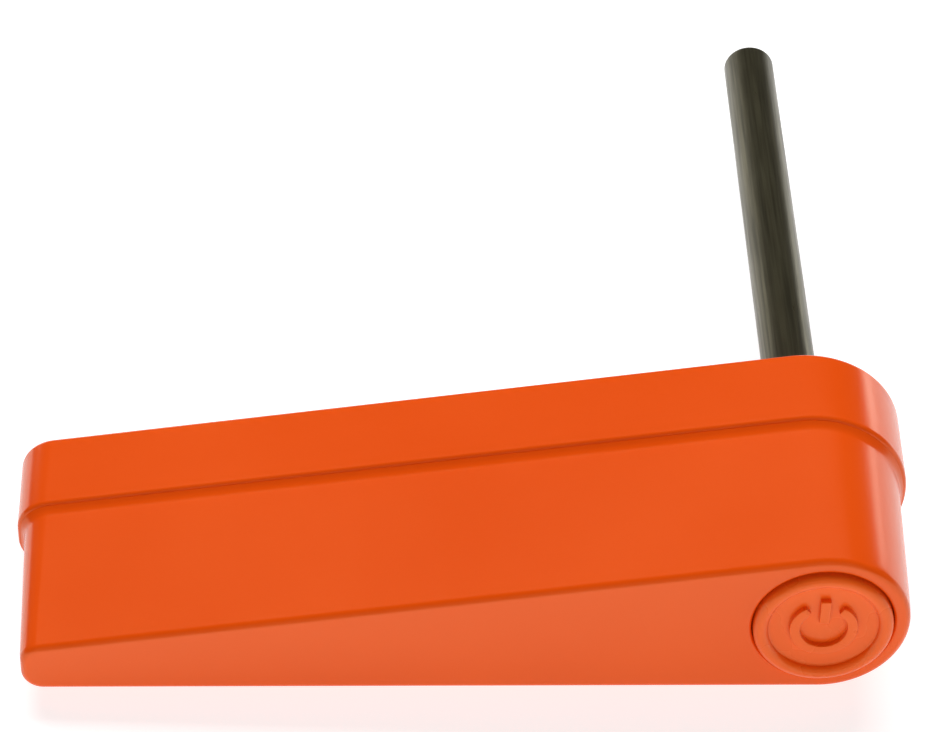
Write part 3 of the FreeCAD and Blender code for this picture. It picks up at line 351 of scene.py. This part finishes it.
def surface(name, colour, other, rough, rub_colour=None, metal=0.0, coat=0.0, fine=900.0,
            broad=30.0, ripple=0.02, ripple_deep=0.00004, marks=0.3, polish=0.08, gloss=0.5,
            gloss_tint=(255, 255, 255)):
    """A finish: colour drifts to other with the skin's cloud, edges go to rub_colour if there is
    one, roughness rises on scuffs and drifts with the cloud, and the ripple gives the bump."""
    finish = bpy.data.materials.new(name)
    finish.use_nodes = True
    tree = finish.node_tree
    shader = tree.nodes["Principled BSDF"]
    skin = node(tree, "ShaderNodeGroup", node_tree=SKIN)
    skin.inputs["Fine"].default_value, skin.inputs["Broad"].default_value = fine, broad
    scuffs = node(tree, "ShaderNodeGroup", node_tree=SCUFFS)
    scuffs.inputs["Amount"].default_value = marks
    drift = node(tree, "ShaderNodeMix", data_type="RGBA")
    drift.inputs[6].default_value, drift.inputs[7].default_value = linear(colour), linear(other)
    tree.links.new(skin.outputs["Cloud"], drift.inputs[0])
    tree.links.new(drift.outputs[2], shader.inputs["Base Color"])
    if rub_colour:
        rub = node(tree, "ShaderNodeGroup", node_tree=RUB)
        worn = node(tree, "ShaderNodeMix", data_type="RGBA")
        tree.links.new(rub.outputs["Rub"], worn.inputs[0])
        tree.links.new(drift.outputs[2], worn.inputs[6])
        worn.inputs[7].default_value = linear(rub_colour)
        tree.links.new(worn.outputs[2], shader.inputs["Base Color"])
    base = node(tree, "ShaderNodeMapRange", [("Value", skin.outputs["Cloud"]),
                                             ("From Min", 0.3), ("From Max", 0.7),
                                             ("To Min", rough - polish / 2),
                                             ("To Max", rough + polish / 2)])
    dull = node(tree, "ShaderNodeMath", [(0, base.outputs["Result"]),
                                         (1, scuffs.outputs["Marks"])], operation="ADD",
                use_clamp=True)
    tree.links.new(dull.outputs[0], shader.inputs["Roughness"])
    bump = node(tree, "ShaderNodeBump", [("Height", skin.outputs["Ripple"]),
                                         ("Strength", ripple), ("Distance", ripple_deep)])
    tree.links.new(bump.outputs["Normal"], shader.inputs["Normal"])
    shader.inputs["Metallic"].default_value = metal
    shader.inputs["Coat Weight"].default_value = coat
    shader.inputs["Coat Roughness"].default_value = 0.05
    shader.inputs["Specular IOR Level"].default_value = gloss
    shader.inputs["Specular Tint"].default_value = linear(gloss_tint)
    return finish


FINISHES = {
    "case_plastic": surface("case_orange_gloss", (228, 75, 6), (239, 84, 10), 0.22,
                            fine=700, broad=22, ripple=0.25, marks=0.0, gloss=0.55,
                            gloss_tint=(255, 250, 190)),
    "button_plastic": surface("button_orange_gloss", (230, 82, 12), (240, 92, 20), 0.28,
                              fine=700, broad=60, ripple=0.25, marks=0.0, gloss=0.55,
                              gloss_tint=(255, 250, 190)),
    "gasket_rubber": surface("gasket_black_rubber", (26, 26, 27), (40, 40, 41), 0.7,
                             fine=1800, ripple=0.6, marks=0.1),
    "screw_steel": surface("cover_screw_steel", (168, 168, 166), (196, 195, 192), 0.28,
                           (225, 225, 222), metal=1.0, fine=2500, broad=200, ripple=0.3),
    "insert_brass": surface("insert_brass", (196, 150, 76), (214, 172, 96), 0.3,
                            (236, 204, 140), metal=1.0, fine=2500, broad=200, ripple=0.3),
    "spring_steel": surface("spring_steel", (156, 156, 158), (186, 186, 188), 0.25,
                            (222, 222, 224), metal=1.0, fine=3000, broad=250, ripple=0.25),
    "switch_plastic": surface("switch_black_plastic", (24, 24, 25), (36, 36, 38), 0.42,
                              (60, 60, 62), fine=1600, broad=120, ripple=0.5),
    "plunger_plastic": surface("plunger_white_plastic", (206, 203, 194), (222, 220, 212), 0.38,
                               fine=1500, broad=150, ripple=0.3),
    "board_laminate": surface("board_green_resist", (22, 78, 38), (34, 102, 52), 0.3,
                              (92, 128, 70), coat=0.4, fine=2200, broad=260, ripple=0.4),
    "ferrite": surface("core_grey_ferrite", (38, 38, 40), (58, 58, 60), 0.66, (92, 92, 94),
                       fine=2600, broad=300, ripple=0.9),
    "former_plastic": surface("former_cream_plastic", (202, 196, 172), (216, 211, 190), 0.5,
                              fine=1500, broad=120, ripple=0.4),
    "plug_resin": surface("plug_dark_resin", (30, 27, 24), (48, 43, 37), 0.35, fine=900,
                          broad=180, ripple=0.5, coat=0.3),
    "bush_brass": surface("bush_turned_brass", (192, 152, 82), (212, 176, 104), 0.3,
                          (236, 208, 146), metal=1.0, fine=2200, broad=160, ripple=0.3),
    "clamp_steel": surface("clamp_zinc_steel", (150, 151, 152), (184, 184, 182), 0.36,
                           (214, 214, 212), metal=1.0, fine=1800, broad=140, ripple=0.4),
    "battery_jacket": surface("battery_dark_jacket", (40, 41, 46), (56, 57, 64), 0.26,
                              (120, 120, 124), metal=0.6, fine=1200, broad=50, ripple=0.2,
                              marks=0.3),
    "snap_plastic": surface("snap_black_vinyl", (20, 20, 21), (32, 32, 34), 0.5, fine=1400,
                            broad=140, ripple=0.6),
    "foam": surface("pad_grey_foam", (46, 46, 48), (76, 76, 78), 0.95, fine=1900, broad=500,
                    ripple=1.0, ripple_deep=0.0006, marks=0.0),
    "sounder_plastic": surface("sounder_black_plastic", (22, 22, 23), (34, 34, 35), 0.4,
                               (58, 58, 60), fine=1600, broad=150, ripple=0.4),
    "trimmer_plastic": surface("trimmer_blue_plastic", (24, 62, 138), (34, 78, 158), 0.38,
                               (80, 116, 184), fine=1600, broad=200, ripple=0.3),
    "rotor_brass": surface("rotor_brass", (200, 158, 84), (218, 180, 104), 0.28,
                           (240, 210, 146), metal=1.0, fine=2600, broad=300, ripple=0.3),
    "chip_plastic": surface("chip_black_epoxy", (28, 28, 29), (40, 40, 42), 0.6, (66, 66, 68),
                            fine=2600, broad=300, ripple=0.8),
    "can_jacket": surface("capacitor_blue_jacket", (26, 36, 84), (38, 50, 104), 0.3,
                          (120, 126, 150), coat=0.3, fine=1400, broad=160, ripple=0.3),
    "film_plastic": surface("capacitor_red_film", (146, 34, 26), (170, 48, 36), 0.3,
                            (196, 92, 78), coat=0.4, fine=1400, broad=200, ripple=0.3),
    "transistor_plastic": surface("transistor_black_epoxy", (28, 28, 30), (40, 40, 42), 0.55,
                                  (64, 64, 66), fine=2600, broad=300, ripple=0.7),
    "socket_plastic": surface("socket_white_nylon", (214, 210, 196), (228, 225, 214), 0.42,
                              fine=1600, broad=200, ripple=0.3),
    "lead_jacket": surface("lead_red_jacket", (156, 22, 20), (182, 34, 30), 0.42, fine=1400,
                           broad=220, ripple=0.4),
}


def banded(name, colour, other, rough, metal, along, scale, sharp=(0.35, 0.65), deep=0.00012):
    """A finish with bands across one axis: wire turns of a winding, or a resistor's rings."""
    finish = surface(name, colour, colour, rough, metal=metal, fine=2000, broad=200, ripple=0.2)
    tree = finish.node_tree
    shader = tree.nodes["Principled BSDF"]
    place = node(tree, "ShaderNodeTexCoord").outputs["Object"]
    wave = node(tree, "ShaderNodeTexWave", [("Vector", place), ("Scale", scale),
                                            ("Distortion", 0.4), ("Detail", 1.0)],
                wave_type="BANDS", bands_direction=along, wave_profile="SIN")
    ramp = node(tree, "ShaderNodeMapRange", [("Value", wave.outputs["Fac"]),
                                             ("From Min", sharp[0]), ("From Max", sharp[1])])
    mix = node(tree, "ShaderNodeMix", data_type="RGBA")
    tree.links.new(ramp.outputs["Result"], mix.inputs[0])
    mix.inputs[6].default_value, mix.inputs[7].default_value = linear(colour), linear(other)
    tree.links.new(mix.outputs[2], shader.inputs["Base Color"])
    bump = node(tree, "ShaderNodeBump", [("Height", wave.outputs["Fac"]), ("Strength", 0.8),
                                         ("Distance", deep)])
    tree.links.new(bump.outputs["Normal"], shader.inputs["Normal"])
    return finish


FINISHES["copper_wire"] = banded("winding_enamelled_copper", (118, 52, 26), (206, 116, 66), 0.3,
                                 0.9, "Y", 700.0)
FINISHES["resistor_body"] = banded("resistor_beige_rings", (198, 176, 132), (120, 52, 34), 0.4,
                                   0.0, "Y", 160.0, (0.75, 0.82), 0.00003)


def streaked(name, colour, other, rough, metal):
    """A drawn tube: fine streaks along Y in tone, polish and bump, stretched noise."""
    finish = surface(name, colour, other, rough, (128, 122, 100), metal=metal, fine=1400,
                     broad=70, ripple=0.4, marks=0.1)
    tree = finish.node_tree
    shader = tree.nodes["Principled BSDF"]
    place = node(tree, "ShaderNodeTexCoord").outputs["Object"]
    drawn = node(tree, "ShaderNodeMapping", [("Vector", place), ("Scale", (1.0, 0.03, 1.0))])
    fine = node(tree, "ShaderNodeTexNoise", [("Vector", drawn.outputs["Vector"]),
                                             ("Scale", 1500.0), ("Detail", 3.0)])
    tone = node(tree, "ShaderNodeMapRange", [("Value", fine.outputs["Fac"]),
                                             ("From Min", 0.35), ("From Max", 0.65),
                                             ("To Min", 0.0), ("To Max", 0.75)])
    mix = node(tree, "ShaderNodeMix", data_type="RGBA")
    tree.links.new(tone.outputs["Result"], mix.inputs[0])
    base = shader.inputs["Base Color"].links[0].from_socket
    tree.links.new(base, mix.inputs[6])
    mix.inputs[7].default_value = linear(tuple(c * 0.72 for c in colour))
    tree.links.new(mix.outputs[2], shader.inputs["Base Color"])
    dull = shader.inputs["Roughness"].links[0].from_socket
    polish = node(tree, "ShaderNodeMath", [(0, tone.outputs["Result"]), (1, 0.12), (2, dull)],
                  operation="MULTIPLY_ADD")
    tree.links.new(polish.outputs[0], shader.inputs["Roughness"])
    bump = node(tree, "ShaderNodeBump", [("Height", fine.outputs["Fac"]), ("Strength", 0.35),
                                         ("Distance", 0.00003)])
    tree.links.new(bump.outputs["Normal"], shader.inputs["Normal"])
    return finish


FINISHES["probe_composite"] = streaked("probe_drawn_tube", (96, 91, 70), (112, 107, 84), 0.30,
                                       0.75)

for entry in frame["record"]["subparts"]:
    part = NODES[entry["node"]]
    part.data.materials.clear()
    part.data.materials.append(FINISHES[entry["material_slot"]])

# ---------------------------------------------------------------- the case

def post_places():
    """X and Z of the four cover screws: two beside the round end, one midway, one at the tip."""
    def upper(x):
        return SIDE_REACH / math.cos(WEDGE) - x * math.tan(WEDGE)

    middle = (END_RAD / math.cos(WEDGE) - LAST_POST * math.tan(WEDGE) - END_RAD) / 2
    return [(-POST_ONE, upper(POST_ONE)), (-POST_ONE, -SIDE_REACH),
            (-POST_THREE, upper(POST_THREE)), (-LAST_POST, middle)]


POSTS = post_places()


def turned(profile, centre=(0.0, 0.0), steps=96):
    """A profile of (radius, depth) turned round a line along Y and capped at both ends."""
    return capped([circle(r, y, centre, steps) for r, y in profile])


def tub_parts():
    """The tub: its section (grow, depth) carried round the outline, through the well."""
    def drafted(y):
        return (y - FRONT) * LEAN

    step = np.linspace(0, 1, 9)[1:]
    cove = [(drafted(y) + LEDGE_GROW * s * s, y)
            for s, y in zip(step, LEDGE_FOOT + step * (LEDGE_TOP - 0.1 - LEDGE_FOOT))]
    top = drafted(LEDGE_TOP) + LEDGE_GROW
    outside = (
        bend((-FRONT_ROUND, FRONT + FRONT_ROUND), FRONT_ROUND, -90, 0, 12)
        + [(drafted(y), y) for y in (-48.6, -44.0, -36.0, -28.0, -22.0, LEDGE_FOOT)]
        + cove + [(top - 0.01, LEDGE_TOP - 0.03), (top - 0.05, LEDGE_TOP)]
        + [(drafted(LEDGE_TOP), LEDGE_TOP), (RIM_GROW - 0.1, RIM),
           ((RIM - FLOOR) * LEAN - WALL, RIM), (-WALL, FLOOR)])
    edge = bend((WELL_RAD + WELL_ROUND, FRONT + WELL_ROUND), WELL_ROUND, 180, 270, 7)
    loops = [loop_in(r, y) for r, y in edge] + [loop_out(g, y) for g, y in outside]
    loops += [loop_in(r, y) for r, y in (
        (WELL_OUT, FLOOR), (WELL_OUT, WELL_BACK), (STEM_HOLE, WELL_BACK),
        (STEM_HOLE, WELL_DEEP), (WELL_RAD, WELL_DEEP))]
    parts = [band(loops, True)]
    for centre in POSTS:
        parts.append(turned([
            (POST_RAD, FLOOR - 2 * BITE), (POST_RAD, POST_STOP), (INSERT_RAD, POST_STOP),
            (INSERT_RAD, POST_STOP - INSERT_LEN), (SCREW_HOLE, POST_STOP - INSERT_LEN),
            (SCREW_HOLE, POST_STOP - TIP_ROOM)], centre, POST_STEPS))
    for side in (EAR_Z, -EAR_Z):
        parts.append(turned([(EAR_RAD, WELL_BACK - 0.3), (EAR_RAD, EAR_TOP), (EAR_HOLE, EAR_TOP),
                             (EAR_HOLE, EAR_DEEP)], (EAR_X, side), 32))
    for x in RIB_PLACES:
        top = (END_RAD - WALL + BITE) / math.cos(WEDGE) - x * math.tan(WEDGE)
        parts.append(brick((-x, FLOOR - BITE, top - RIB_LONG), (RIB_THICK - x, RIB_TOP, top)))
    for x in RAIL_PLACES:
        for low, high in RAIL_HEIGHTS:
            parts.append(brick((x - RAIL_HALF, FLOOR - BITE / 2, low),
                               (x + RAIL_HALF, RAIL_TOP, high)))
    return parts


def lid_parts():
    """The lid: outer and inner sections carried round the outline, its back and inner faces
    cut out for the screws, probe, trimmer and sounder, and a wall down each opening."""
    lip_in, inner = RIM_GROW + 0.1, RIM_GROW - WALL
    lip_grow = COVER_GROW - LID_LEAN
    wall = [(lip_grow + LID_LEAN * t, LIP + LIP_ROUND + t * (-REAR_ROUND - LIP - LIP_ROUND))
            for t in np.linspace(0, 1, 7)]
    outside = (
        [(lip_in, LIP + 0.12), (lip_in + 0.12, LIP)]
        + bend((lip_grow - LIP_ROUND, LIP + LIP_ROUND), LIP_ROUND, -90, 0, 10)
        + wall[1:]
        + bend((COVER_GROW - REAR_ROUND, -REAR_ROUND), REAR_ROUND, 0, 90, 12)[1:])
    skirt = band([loop_out(g, y) for g, y in outside])
    rim_seat = RIM + GASKET
    hollow = band([loop_out(g, y) for g, y in (
        (lip_in, LIP + 0.12), (lip_in, rim_seat), (inner, rim_seat), (inner, -COVER_WALL))])
    holes_out, holes_in, walls = [], [], []

    def opening(loops):
        holes_out.append(loops[0])
        holes_in.append(loops[-1])
        walls.append(band(loops))

    for centre in POSTS:
        opening([circle(r, y, centre, POST_STEPS) for r, y in (
            (HEAD_HOLE + 0.15, 0.0), (HEAD_HOLE + 0.04, -0.05), (HEAD_HOLE, -0.16),
            (HEAD_HOLE, -HEAD_DEEP), (SCREW_HOLE, -HEAD_DEEP), (SCREW_HOLE, POST_STOP),
            (POST_RAD, POST_STOP), (POST_RAD, -COVER_WALL))])
    opening([circle(r, y, (0.0, 0.0), 96) for r, y in (
        (PROBE_HOLE + 0.15, 0.0), (PROBE_HOLE + 0.04, -0.05), (PROBE_HOLE, -0.16),
        (PROBE_HOLE, -COVER_WALL))])
    opening([circle(r, y, TRIMMER_PLACE, 48) for r, y in (
        (TRIMMER_HOLE + 0.12, 0.0), (TRIMMER_HOLE, -0.12), (TRIMMER_HOLE, -COVER_WALL))])
    turn = np.linspace(0, math.pi, 9)
    across, upright = SLOT_HALF * np.cos(turn), SLOT_TALL + SLOT_HALF * np.sin(turn)
    slot_x = np.concatenate([across, -across])
    slot_z = np.concatenate([upright, -upright])
    for x in SLOT_PLACES:
        opening([np.stack([x + slot_x * s, np.full(18, y), SLOT_Z + slot_z * (s + 9) / 10], 1)
                 for s, y in ((1.15, 0.0), (1.0, -0.1), (1.0, -COVER_WALL))])
    clamp_bosses = []
    for turn in (0, 120, 240):
        spot = (CLAMP_CIRCLE * math.cos(math.radians(turn)),
                CLAMP_CIRCLE * math.sin(math.radians(turn)))
        clamp_bosses.append(turned([(CLAMP_RAD, 0.1 - COVER_WALL), (CLAMP_RAD, CLAMP_FRONT),
                                    (CLAMP_HOLE, CLAMP_FRONT), (CLAMP_HOLE, CLAMP_DEEP)],
                                   spot, 32))
    back = plate(loop_out(*outside[-1]), holes_out, False)
    inside = plate(loop_out(inner, -COVER_WALL), holes_in, True)
    return [skirt, hollow, back, inside] + walls + clamp_bosses


piece("case_tub", tub_parts(), FINISHES["case_plastic"], "case",
      ["front_housing"])
piece("case_lid", lid_parts(), FINISHES["case_plastic"], "case",
      ["rear_cover"])

# ---------------------------------------------------------------- thumb button and probe

def mark_parts():
    """The raised power mark: a rounded bar, and an arc open at the top, each a rounded section
    carried along its line: section point (across, out) at distance s along it."""
    half, high, soft = 0.92, 1.0, 0.22
    turn = np.radians(np.linspace(0, 90, 5))
    right = [(half, 0.4)] + [(half - soft + soft * math.cos(a), -high + soft - soft * math.sin(a))
                             for a in turn]
    section = np.array(right + [(-x, y) for x, y in right[::-1]])
    gap = math.radians(35)

    def sweep(line, across):
        """Ends are drawn in over a few steps, so they are rounded too."""
        return capped([np.stack([p[0] + section[:, 0] * a[0] * k,
                                 FRONT + np.where(section[:, 1] > 0, section[:, 1],
                                                  section[:, 1] * (0.45 + 0.55 * k)),
                                 p[1] + section[:, 0] * a[1] * k], 1)
                       for p, a, k in zip(line, across, draw)])

    turns = np.linspace(math.pi / 2 + gap, 2.5 * math.pi - gap, 90)
    ends = np.linspace(0, 1, 5)
    draw = np.concatenate([np.sqrt(1 - (1 - ends) ** 2) * 0.28 + 0.72, np.ones(80),
                           (np.sqrt(1 - (1 - ends) ** 2) * 0.28 + 0.72)[::-1]])
    direction = np.stack([np.cos(turns), np.sin(turns)], 1)
    arc = sweep(5.0 * direction, direction)
    run = np.concatenate([1.4 + 0.25 * ends, np.linspace(1.8, 6.0, 80), 6.15 + 0.25 * ends])
    bar = sweep(np.stack([np.zeros(90), run], 1), np.tile([1.0, 0.0], (90, 1)))
    return [arc, bar]


def button_parts():
    """The button turned round its axis: cap, ring of half-ellipse section, skirt and stem."""
    ring_out, half, foot = 12.1, 1.3, FRONT - 0.2
    crest = [(ring_out - half + half * math.cos(a), foot + 1.1 * math.sin(a))
             for a in np.radians(np.linspace(180, 360, 21))]
    profile = (
        [(0.4, FRONT + 0.02), (8.6, FRONT + 0.02), (9.1, FRONT - 0.01), (9.35, FRONT - 0.06)]
        + crest
        + [(ring_out, FRONT + 0.6), (ring_out, -44.3), (11.85, -44.05), (10.75, -44.05),
           (10.6, -44.2), (10.6, -49.2), (6.3, -49.2), (6.3, -47.4), (2.5, -47.4),
           (2.5, -41.15), (2.0, -41.15), (2.0, -40.3), (2.5, -40.3), (2.5, -39.4),
           (2.3, -39.2), (0.4, -39.2)])
    return [turned(profile, steps=128)] + mark_parts()


def probe_parts():
    """The probe tube: closed tip with a rounded shoulder, a slim root and an open bore."""
    profile = (
        [(BORE_RAD, ROOT_END), (ROOT_RAD, ROOT_END), (ROOT_RAD, 0.3), (PROBE_RAD, 0.3)]
        + [(PROBE_RAD, y) for y in np.linspace(4, 112, 10)]
        + bend((PROBE_RAD - TIP_ROUND, PROBE_TIP - TIP_ROUND), TIP_ROUND, 0, 90, 12)
        + [(2.0, PROBE_TIP), (0.3, PROBE_TIP)])
    outer = [circle(r, y, steps=96) for r, y in profile]
    bore = [circle(r, y, steps=96) for r, y in ((0.3, BORE_END), (BORE_RAD, BORE_END))]
    return [capped(bore + outer)]


piece("thumb_button_face", button_parts(), FINISHES["button_plastic"], "button",
      ["thumb_button"])
piece("probe_rod", probe_parts(), FINISHES["probe_composite"], "case",
      ["probe_tube"])

# ---------------------------------------------------------------- floor, light and camera

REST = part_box("rear_cover")[0].z
FLOOR_TONE, FLOOR_GLOW = 0.55, 0.72
CAMERA_PLACE, CAMERA_LENS = (-0.0697, -0.4921, 0.4333), 140.24
CAMERA_TURN, CAMERA_FALL, CAMERA_TILT = 1.02, 40.29, 0.812


def plain_floor():
    """A wide pale floor at the height that the case rests on, lit a little from below."""
    mesh = bpy.data.meshes.new("floor")
    half = 4.0
    mesh.from_pydata([(-half, -half, REST), (half, -half, REST), (half, half, REST),
                      (-half, half, REST)], [], [(0, 1, 2, 3)])
    thing = bpy.data.objects.new("floor", mesh)
    bpy.context.scene.collection.objects.link(thing)
    finish = bpy.data.materials.new("floor_pale_matt")
    finish.use_nodes = True
    shader = finish.node_tree.nodes["Principled BSDF"]
    shader.inputs["Base Color"].default_value = (FLOOR_TONE, FLOOR_TONE, FLOOR_TONE, 1.0)
    shader.inputs["Emission Color"].default_value = (1.0, 1.0, 1.0, 1.0)
    shader.inputs["Emission Strength"].default_value = FLOOR_GLOW
    shader.inputs["Roughness"].default_value = 0.9
    shader.inputs["Specular IOR Level"].default_value = 0.1
    mesh.materials.append(finish)


def softbox(name, place, target, size, power, seen=True, lit=True):
    """A rectangular light at place, facing target, size metres across. With seen off it doesn't
    show in gloss, and with lit off it shows only there."""
    light = bpy.data.lights.new(name, "AREA")
    light.shape = "RECTANGLE"
    light.size, light.size_y = size
    light.energy = power
    thing = bpy.data.objects.new(name, light)
    thing.visible_camera, thing.visible_glossy, thing.visible_diffuse = False, seen, lit
    bpy.context.scene.collection.objects.link(thing)
    back = (np.array(place) - np.array(target)).astype(float)
    back /= np.linalg.norm(back)
    side = np.cross((0, 0, 1.0) if abs(back[2]) < 0.95 else (0, 1.0, 0), back)
    side /= np.linalg.norm(side)
    up = np.cross(back, side)
    rows = np.eye(4)
    rows[:3, 0], rows[:3, 1], rows[:3, 2], rows[:3, 3] = side, up, back, place
    thing.matrix_world = Matrix(rows.tolist())
    return thing


def place_camera():
    """The camera looks along turn and down by fall, leaning by tilt about the probe's axis."""
    turn, fall, tilt = np.radians((CAMERA_TURN, CAMERA_FALL, CAMERA_TILT))
    forward = np.array([math.sin(turn) * math.cos(fall), math.cos(turn) * math.cos(fall),
                        -math.sin(fall)])
    right = np.array([math.cos(turn), -math.sin(turn), 0])
    up = np.cross(right, forward)
    lean = np.array([[math.cos(tilt), 0, -math.sin(tilt)], [0, 1, 0],
                     [math.sin(tilt), 0, math.cos(tilt)]])
    rows = np.eye(4)
    rows[:3, :3] = lean @ np.stack([right, up, -forward], 1)
    rows[:3, 3] = lean @ CAMERA_PLACE
    camera = bpy.data.cameras.new("camera")
    camera.lens, camera.sensor_width, camera.sensor_fit = CAMERA_LENS, 36.0, "HORIZONTAL"
    camera.clip_start, camera.clip_end = 0.01, 20.0
    thing = bpy.data.objects.new("camera", camera)
    bpy.context.scene.collection.objects.link(thing)
    thing.matrix_world = Matrix(rows.tolist())
    bpy.context.scene.camera = thing


plain_floor()
place_camera()
softbox("high_back", (-0.05, 0.70, 1.2), (-0.06, 0.0, 0.0), (1.6, 0.8), 24, seen=False)
softbox("front_fill", (-0.05, -1.1, 0.5), (-0.06, -0.05, 0.0), (1.6, 0.5), 6.5, seen=False)
softbox("right_back", (0.62, 0.62, 0.06), (0.0, 0.0, 0.0), (0.2, 0.12), 0.25, lit=False)
softbox("left_back", (-0.36, 0.62, 0.10), (0.0, 0.1, 0.0), (0.46, 0.16), 0.3, lit=False)

world = bpy.data.worlds.new("studio")
bpy.context.scene.world = world
world.use_nodes = True
world.node_tree.nodes["Background"].inputs["Color"].default_value = (1.0, 1.0, 1.0, 1.0)
world.node_tree.nodes["Background"].inputs["Strength"].default_value = 0.06
bpy.context.scene.view_settings.view_transform = "Standard"
